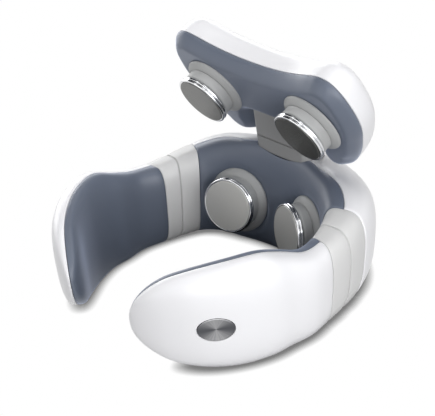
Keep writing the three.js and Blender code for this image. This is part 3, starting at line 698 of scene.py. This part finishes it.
def bracket_ring(z, grow):
    """The bracket's outline from above at height z, grown or drawn in, with rounded corners."""
    points = []
    radius = BRACKET_ROUND + grow
    for corner_x, corner_y, start in ((1, -1, -90), (1, 1, 0), (-1, 1, 90), (-1, -1, 180)):
        centre_x = corner_x * (BRACKET_HALF - BRACKET_ROUND)
        centre_y = BRACKET_MIDDLE + corner_y * (BRACKET_DEPTH / 2 - BRACKET_ROUND)
        for k in range(BRACKET_CORNER_STEPS + 1):
            a = math.radians(start + k / BRACKET_CORNER_STEPS * 90)
            points.append((centre_x + radius * math.cos(a), centre_y + radius * math.sin(a), z))
    return np.array(points) * MM


def bracket_cutter(low, high):
    """The block that a part leaves free for the bracket."""
    return capped_skin("notch", [bracket_ring(low, SEAM), bracket_ring(high, SEAM)])


bracket_profile = [
    *[(BRACKET_FOOT + up, grow) for up, grow in BRACKET_FOOT_EDGE],
    *[(z, 0.0) for z in np.linspace(BRACKET_FOOT + 2, BRACKET_GROOVE - BRACKET_PLAIN_FROM, 8)],
    *[(BRACKET_GROOVE + z, -GROOVE_DEPTH * (1 - (z / BRACKET_GROOVE_HALF) ** 2) ** 0.5)
      for z in np.linspace(-BRACKET_GROOVE_HALF, BRACKET_GROOVE_HALF, 9)],
    *[(z, 0.0) for z in np.linspace(BRACKET_GROOVE + BRACKET_PLAIN_FROM, BRACKET_TOP - 1, 14)],
    *[(BRACKET_TOP + up, grow) for up, grow in BRACKET_TOP_EDGE],
]
bracket = capped_skin("bracket", [bracket_ring(z, grow) for z, grow in bracket_profile])
# This TPU shines a little less than the links', and its darker grey is painted shade
bracket_tpu_painted_shade = grained_finish("moulded_tpu_painted_shade", BRACKET_GREY_PAINTED_SHADE, 0.45, 0.5, 0.006, shade=0.02)
dress(bracket, bracket_tpu_painted_shade, None, "link_rubber", "bracket_lower", "bracket_upper")
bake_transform(bracket)
for piece in (back_shell, back_pad):
    cut(piece, bracket_cutter(BRACKET_FOOT - SEAM, BRACKET_TOP + BRACKET_CLEAR_OVER))
for piece in (upper_shell, upper_pad):
    cut(piece, bracket_cutter(0, BRACKET_TOP + SEAM))


# Massage heads
# A satin steel disc pressed into a polished chrome ring with two ridges, on a sliding stem.
# A soft silicone skirt runs from the ring to a flared foot on the pad, with a crease where the real
# skirt folds; here it keeps its rest shape.

# Profiles of (radius, depth behind the face), in mm
FACE_PROFILE = [(0, 0), (13.9, 0), (14.15, 0), (14.28, 0.05), (14.32, 0.2), (14.32, 1.4), (0, 1.4)]
SKIRT_BASE, SKIRT_DEPTH = 18.5, 12.7
SKIRT_PROFILE = [
    (13.6, 3.9), (14.3, 4.05), (14.75, 4.6), (14.8, 5.6), (14.7, 7.2), (14.75, 8.8),
    (14.85, 9.15), (14.8, 9.28), (14.3, 9.36), (14.35, 9.46), (15.0, 9.5), (15.7, 9.75),
    (16.6, 10.3), (17.4, 10.95), (18.05, 11.45), (18.35, 11.75), (SKIRT_BASE, 12.15),
    (SKIRT_BASE, SKIRT_DEPTH), (13.2, SKIRT_DEPTH), (13.2, 9.3), (11.4, 7.6), (11.3, 3.9),
]
THROAT = 11.0
RIDGE_RADIUS, RIDGE_HALF = 14.9, 0.8
HOLE_RADIUS = 9.0 + SEAM  # round the stem's guide
HOLE_PROFILE = [(0, 8), (HOLE_RADIUS, 8), (HOLE_RADIUS, 32), (0, 32)]
SEAT_DEPTH = SKIRT_DEPTH + SEAM
SEAT_RADIUS = SKIRT_BASE + 3
SEAT_EDGE = 2.6
TURNED_SHARP_ANGLE = 50
HEADS = {
    "lower": {"x": 24.04, "y": 34 + COLLAR_Y, "z": 26, "tilt": -12, "toe": 16.6,
              "body": "back_section"},
    "upper": {"x": 38.6, "y": UPPER_PLACE[1], "z": UPPER_PLACE[2], "tilt": UPPER_TILT, "toe": 0.9,
              "body": "upper_module"},
}
# Painted light: one steel, coloured darker for the upper discs and much paler for the lower ones
UPPER_FACE_STEEL_PAINTED_DARK = "#686866"
LOWER_FACE_STEEL_PAINTED_PALE = "#d3d2ce"
RING_CHROME = "#dcdddf"
SKIRT_GREY = "#adaeae"


def ridge(depth, start, end):
    """A round ridge of the chrome ring, from one angle to another about its centre."""
    turns = np.radians(np.linspace(start, end, 10))
    return [(RIDGE_RADIUS + RIDGE_HALF * math.cos(a), depth + RIDGE_HALF * math.sin(a))
            for a in turns]


def turned(name, profile, matrix, closed, segments=96):
    """A turned piece about the head's axis, from a profile of (radius, depth)."""
    points, faces = [], []
    count = len(profile)
    for i in range(segments):
        a = 2 * math.pi * i / segments
        points += [matrix @ (Vector((r * math.cos(a), d, r * math.sin(a))) * MM)
                   for r, d in profile]
    for i in range(segments):
        j = (i + 1) % segments
        for k in range(count if closed else count - 1):
            n = (k + 1) % count
            faces.append((i * count + k, i * count + n, j * count + n, j * count + k))
    return finished(name, points, faces, TURNED_SHARP_ANGLE)


def head_place(head, side):
    """Where a head stands, with its axis along the local +Y, away from the neck."""
    turn = Matrix.Rotation(math.radians(head["tilt"]), 4, "X")
    turn = turn @ Matrix.Rotation(math.radians(-side * head["toe"]), 4, "Z")
    return Matrix.Translation(Vector((side * head["x"], head["y"], head["z"])) * MM) @ turn


def seat_for_skirt(pad, matrix):
    """Presses the curved pad back under a head, so that the skirt's foot stands on it all round."""
    inverse = matrix.inverted()
    for vertex in pad.data.vertices:
        local = inverse @ vertex.co / MM
        radius = math.hypot(local.x, local.z)
        if radius < SEAT_RADIUS and 0 < local.y < SEAT_DEPTH:
            t = min((SEAT_RADIUS - radius) / SEAT_EDGE, 1)
            local.y += (SEAT_DEPTH - local.y) * t * t * (3 - 2 * t)
            vertex.co = matrix @ (local * MM)


# Ground steel blurs what it mirrors to a soft grey. The lower discs have a duller grind than the
# upper ones, and their colour is painted much paler: painted light, lit and shaded copies of one
# steel.
satin_steel = {
    "upper": grained_finish("satin_ground_steel_painted_dark", UPPER_FACE_STEEL_PAINTED_DARK, 0.28, 0.25, 0.003, metal=0.5,
                            shade=0.03, rough_spread=0.03),
    "lower": grained_finish("matt_ground_steel_painted_pale", LOWER_FACE_STEEL_PAINTED_PALE, 0.42, 0.25, 0.004, metal=0.45,
                            shade=0.03, rough_spread=0.04),
}
# Chrome plate mirrors the floor and the flags in thin black and white bands
polished_chrome = grained_finish("polished_chrome_plate", RING_CHROME, 0.05, 2.0, 0.0005,
                                 metal=1.0, shade=0.01, rough_spread=0.015)
# Silicone from a matt mould hardly shines at all
skirt_silicone = grained_finish("matt_silicone", SKIRT_GREY, 0.5, 0.4, 0.006, ior=1.42, shade=0.02)
ring_profile = [(THROAT, 1.7), (14.45, 1.7), *ridge(1.05, -124, 70), (15.0, 1.9),
                *ridge(2.75, -70, 85), (14.6, 3.6), (THROAT, 3.6)]
for level, head in HEADS.items():
    for side_name, side in SIDES.items():
        node = f"{level}_{side_name}_head"
        matrix = head_place(head, side)
        face = turned(f"{node}_disc", FACE_PROFILE, matrix, False)
        dress(face, satin_steel[level], node, "head_face", f"{node}_face")
        ring = turned(f"{node}_chrome_ring", ring_profile, matrix, True, 128)
        dress(ring, polished_chrome, node, "head_ring", f"{node}_ring")
        skirt = turned(f"{node}_soft_skirt", SKIRT_PROFILE, matrix, True)
        dress(skirt, skirt_silicone, None, "skirt_silicone", f"{node}_skirt")
        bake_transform(skirt)
        if level == "lower":
            seat_for_skirt(back_pad, matrix)
        cut(back_pad if level == "lower" else upper_pad,
            turned("guide_hole", HOLE_PROFILE, matrix, False, 48))


# Power button in the right arm
# Spun stainless steel, a shallow oval dish brushed in circles, in a close-fitting hole.
# The brushing runs round the middle, and the two bright wedges that light gathers into are painted
# into the colour as painted highlights, over the steel's own reflections.

BUTTON_STATION = 10.6
BUTTON_HEIGHT = 27
NEAR_STATION, NEAR_HEIGHT = 0.05, 1  # how far off the slope of the face is measured
FACE_STEPS = 96
BUTTON_HALF = (9.4, 6.4)
BUTTON_STEPS = 96
DISH_DEPTH, DISH_REACH, DISH_CURVE = 0.35, 0.98, 1.5
BUTTON_RIM = [  # grown, height out of the face
    (1.0, -4.1), (1.0, -2.9), (0.0, -2.9), (0.0, -0.3), (-0.12, -0.08), (-0.35, 0.0),
]
BUTTON_HOLE = [(SEAM, -12), (SEAM, 3)]
BUTTON_SHARP_ANGLE = 25
# Painted shade and painted highlight: the tones of the button's painted wedges of reflected light
BUTTON_PAINTED_SHADE, BUTTON_PAINTED_HIGHLIGHT = "#55565a", "#c6c6c7"
BUTTON_STREAKS = 9.0  # over the turn in radians
BRUSH_WIDTH, BRUSH_DEPTH = 0.25, 0.004  # mm, coarser than the real brushing so that it shows


def outer_point(u, height):
    """The point of the shell's outer face at a station and a height."""
    out, z = dome(u, 1, 0, FACE_STEPS)
    return Vector(place(u, np.array([np.interp(-height, -z, out)]), np.array([height]))[0])


button_centre = outer_point(BUTTON_STATION, BUTTON_HEIGHT)
button_along = (outer_point(BUTTON_STATION + NEAR_STATION, BUTTON_HEIGHT)
                - outer_point(BUTTON_STATION - NEAR_STATION, BUTTON_HEIGHT)).normalized()
button_up = (outer_point(BUTTON_STATION, BUTTON_HEIGHT + NEAR_HEIGHT)
             - outer_point(BUTTON_STATION, BUTTON_HEIGHT - NEAR_HEIGHT)).normalized()
button_out = button_up.cross(button_along).normalized()
if button_out.x < 0:
    button_out = -button_out
button_x = (button_along - button_out * button_along.dot(button_out)).normalized()
button_z = button_x.cross(button_out)
button_matrix = Matrix((button_x, button_out, button_z)).transposed().to_4x4()
button_matrix.translation = button_centre


def oval_ring(grow, lift):
    """The button's outline, grown or drawn in, at a height out of the face."""
    points = []
    for i in range(BUTTON_STEPS):
        a = 2 * math.pi * i / BUTTON_STEPS
        local = Vector(((BUTTON_HALF[0] + grow) * math.cos(a), lift,
                        (BUTTON_HALF[1] + grow) * math.sin(a)))
        points.append(button_matrix @ (local * MM))
    return np.array(points)


cut(arm_shells["right"], capped_skin("button_hole", [oval_ring(*ring) for ring in BUTTON_HOLE]))
dish = [(-BUTTON_HALF[1] * DISH_REACH * t, -DISH_DEPTH * (1 - (1 - t) ** DISH_CURVE))
        for t in np.linspace(0.12, 1, 12)]
button = capped_skin("spun_button", [oval_ring(*ring) for ring in BUTTON_RIM + dish],
                     BUTTON_SHARP_ANGLE)

# The wedges are painted highlights and painted shade: light and dark tones painted round the
# middle, streaked as the brush leaves them
spun_steel, tree = new_tree("spun_steel_painted_wedges")
at = add(tree, "ShaderNodeTexCoord").outputs["Object"]
offset = add(tree, "ShaderNodeVectorMath", {"operation": "SUBTRACT", 1: button_centre}, _0=at)
across = add(tree, "ShaderNodeVectorMath", {"operation": "DOT_PRODUCT", 1: button_x},
             _0=offset.outputs[0]).outputs["Value"]
upward = add(tree, "ShaderNodeVectorMath",
             {"operation": "DOT_PRODUCT", 1: button_z * BUTTON_HALF[0] / BUTTON_HALF[1]},
             _0=offset.outputs[0]).outputs["Value"]
turn_at = add(tree, "ShaderNodeMath", {"operation": "ARCTAN2"}, _0=upward, _1=across).outputs[0]
twice = add(tree, "ShaderNodeMath", {"operation": "MULTIPLY", 1: 2.0}, _0=turn_at)
wave = add(tree, "ShaderNodeMath", {"operation": "COSINE"}, _0=twice.outputs[0])
wedge = add(tree, "ShaderNodeMapRange", {"From Min": 1.0, "From Max": -1.0},
            Value=wave.outputs[0])
streak_at = add(tree, "ShaderNodeCombineXYZ", None, X=turn_at)
streaks = add(tree, "ShaderNodeTexNoise", {"Scale": BUTTON_STREAKS, "Detail": 4.0,
                                           "Roughness": 0.7}, Vector=streak_at.outputs[0])
streaked = add(tree, "ShaderNodeMath", {"operation": "MULTIPLY"}, _0=wedge.outputs[0],
               _1=streaks.outputs["Fac"])
tone = add(tree, "ShaderNodeMix", {"data_type": "RGBA", 6: linear(BUTTON_PAINTED_SHADE),
                                   7: linear(BUTTON_PAINTED_HIGHLIGHT)}, Factor=streaked.outputs[0])
ring_at = add(tree, "ShaderNodeCombineXYZ", None, X=across, Y=upward)
radius = add(tree, "ShaderNodeVectorMath", {"operation": "LENGTH"}, _0=ring_at.outputs[0])
round_at = add(tree, "ShaderNodeCombineXYZ", None, X=radius.outputs["Value"])
rounds = add(tree, "ShaderNodeTexNoise", {"Scale": 1 / (BRUSH_WIDTH * MM), "Detail": 2.0},
             Vector=round_at.outputs[0])
brushing = add(tree, "ShaderNodeBump", {"Strength": 1.0, "Distance": BRUSH_DEPTH * MM},
               Height=rounds.outputs["Fac"])
shader = add(tree, "ShaderNodeBsdfPrincipled", {"Metallic": 1.0, "Roughness": 0.32},
             Base_Color=tone.outputs[2], Normal=brushing.outputs[0])
add(tree, "ShaderNodeOutputMaterial", None, Surface=shader.outputs[0])
dress(button, spun_steel, "button", "button_steel", "power_button")


# Charging socket in the left arm
# Plated pressed steel, an oblong cup behind a slot in the arm's lower edge, clipped to the frame.
# It sits back in the slot, so nothing stands out below the shell.

SOCKET_STATION = 10.6
SOCKET_BEHIND = 6  # from the parting plane to its middle
SOCKET_HALF = (4.5, 1.7)
SOCKET_MOUTH, SOCKET_TOP = 3.3, 8.2
SOCKET_CUP = [  # grown, height: from its floor down to the mouth, and up the outside
    (-0.5, SOCKET_TOP - 0.5), (-0.5, SOCKET_MOUTH + 0.1), (-0.4, SOCKET_MOUTH),
    (-0.1, SOCKET_MOUTH), (0, SOCKET_MOUTH + 0.1), (0, SOCKET_TOP),
]
SOCKET_SLOT = [(SEAM, -6), (SEAM, SOCKET_TOP + SEAM)]
SOCKET_END_STEPS = 12
SOCKET_STEEL = "#b4b6b9"


def oblong_ring(grow, z):
    """The socket's outline at height z, grown or drawn in, with round ends."""
    s = station(-SOCKET_STATION)
    middle = place(-SOCKET_STATION, np.array([s["pad"] + SOCKET_BEHIND]),
                   np.array([s["bottom"]]))[0]
    along = np.array([math.cos(s["facing"]), math.sin(s["facing"]), 0])
    outward = np.array([-along[1], along[0], 0])
    radius = SOCKET_HALF[1] + grow
    points = []
    for end, start in ((1, -90), (-1, 90)):
        for k in range(SOCKET_END_STEPS + 1):
            a = math.radians(start + k / SOCKET_END_STEPS * 180)
            x = end * (SOCKET_HALF[0] - SOCKET_HALF[1]) + radius * math.cos(a)
            points.append(middle + (along * x + outward * radius * math.sin(a)) * MM)
    points = np.array(points)
    points[:, 2] = z * MM
    return points


# Plate over pressed steel has a plain soft shine
pressed_steel = grained_finish("plated_pressed_steel", SOCKET_STEEL, 0.3, 0.2, 0.002, metal=1.0)
cut(arm_shells["left"], capped_skin("socket_slot", [oblong_ring(*ring) for ring in SOCKET_SLOT]))
socket = capped_skin("charging_port", [oblong_ring(*ring) for ring in SOCKET_CUP])
dress(socket, pressed_steel, "left_arm", "spring_steel", "charging_socket")


# Return springs of the heads, and the spring strips in the links and in the bracket
# Hardened spring steel, coiled from wire and cut from flat band, let into the plastic round it.
# A real spring is pressed together as its head goes in, and a strip bends along with its rubber;
# here both keep their rest shape.

SPRING_FRONT, SPRING_BACK = 5.3, 13.0  # behind the head's face
SPRING_RADIUS, SPRING_WIRE, SPRING_TURNS = 6.4, 0.5, 4.5
SPRING_FLAT = 0.12  # share of the wire in each closed end
COIL_STEPS, WIRE_STEPS = 24, 8
STRIP_BEHIND = 2.6  # behind the pad's back
STRIP_THICKNESS = 0.8
STRIP_HALF = 8.0
STRIP_REACH = 0.7
BRACKET_STRIP_HALF = 12.3
BRACKET_STRIP_ENDS = (47.5, 78.0)
SPRING_GREY = "#a6a8ab"


def coil(name, matrix):
    """A coil spring about the head's axis, with closed ends, as a tube of round wire."""
    steps = int(COIL_STEPS * SPRING_TURNS)
    low, high = SPRING_FRONT + SPRING_WIRE, SPRING_BACK - SPRING_WIRE
    rings = []
    for i in range(steps + 1):
        turn = 2 * math.pi * SPRING_TURNS * i / steps
        climb = min(max((i / steps - SPRING_FLAT) / (1 - 2 * SPRING_FLAT), 0), 1)
        ring = []
        for k in range(WIRE_STEPS):
            a = 2 * math.pi * k / WIRE_STEPS
            radius = SPRING_RADIUS + SPRING_WIRE * math.cos(a)
            depth = low + (high - low) * climb + SPRING_WIRE * math.sin(a)
            local = Vector((radius * math.cos(turn), depth, radius * math.sin(turn)))
            ring.append(matrix @ (local * MM))
        rings.append(np.array(ring))
    return capped_skin(name, rings)


def strip_ring(u):
    """The flat section of a link's strip at station u."""
    s = station(u)
    middle = (s["top"] + s["bottom"]) / 2
    inner = s["pad"] + STRIP_BEHIND
    out = np.array([STRIP_THICKNESS, STRIP_THICKNESS, 0, 0]) + inner
    return place(u, out, middle + STRIP_HALF * np.array([1, -1, -1, 1]))


def bracket_strip_ring(z):
    """The flat section of the bracket's strip at height z."""
    half = STRIP_THICKNESS / 2
    corners = ((1, -half), (1, half), (-1, half), (-1, -half))
    return np.array([(end * BRACKET_STRIP_HALF, BRACKET_MIDDLE + y, z) for end, y in corners]) * MM


# Tempered steel is grey and half bright
spring_steel = grained_finish("spring_steel", SPRING_GREY, 0.35, 0.2, 0.003, metal=1.0)
for level, head in HEADS.items():
    for side_name, side in SIDES.items():
        node = f"{level}_{side_name}_head"
        matrix = head_place(head, side)
        spring = coil(f"{node}_coil_spring", matrix)
        dress(spring, spring_steel, head["body"], "spring_steel", f"{node}_spring")
        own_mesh(spring)
for name, side in SIDES.items():
    reach = np.linspace(BACK_END - STRIP_REACH, ARM_START + STRIP_REACH, 35)
    strip = loft(f"{name}_spring_strip", [strip_ring(side * u) for u in reach])
    dress(strip, spring_steel, None, "spring_steel", f"{name}_link_strip")
    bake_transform(strip)
strip = loft("bracket_spring_strip",
             [bracket_strip_ring(z) for z in np.linspace(*BRACKET_STRIP_ENDS, 31)])
dress(strip, spring_steel, None, "spring_steel", "bracket_strip")
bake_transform(strip)


# Inner pieces that stay as they are
# Glass-filled nylon frames and stems, the battery in its film, the switch and its board.
# The shells and the pads close them in, so they keep the shape that the CAD gives them.

NYLON_GREY = "#3c3f45"
BOARD_GREEN = "#1f6b3a"
FILM_BLUE = "#4a6fa5"

# Glass fibre makes the nylon dull and a little uneven; the board's mask and the film are smoother
nylon = grained_finish("glass_filled_nylon", NYLON_GREY, 0.55, 0.3, 0.01, shade=0.08)
solder_mask = grained_finish("solder_mask_board", BOARD_GREEN, 0.35, 0.6, 0.005)
battery_film = grained_finish("shrink_film", FILM_BLUE, 0.3, 0.8, 0.01)
INNER_FINISH = {
    "frame": nylon, "stem": nylon, "switch": nylon, "board": solder_mask, "cell": battery_film,
}
for node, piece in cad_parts.items():
    finish = INNER_FINISH.get(node.split("_")[-1])
    if finish:
        piece.data.materials.clear()
        piece.data.materials.append(finish)
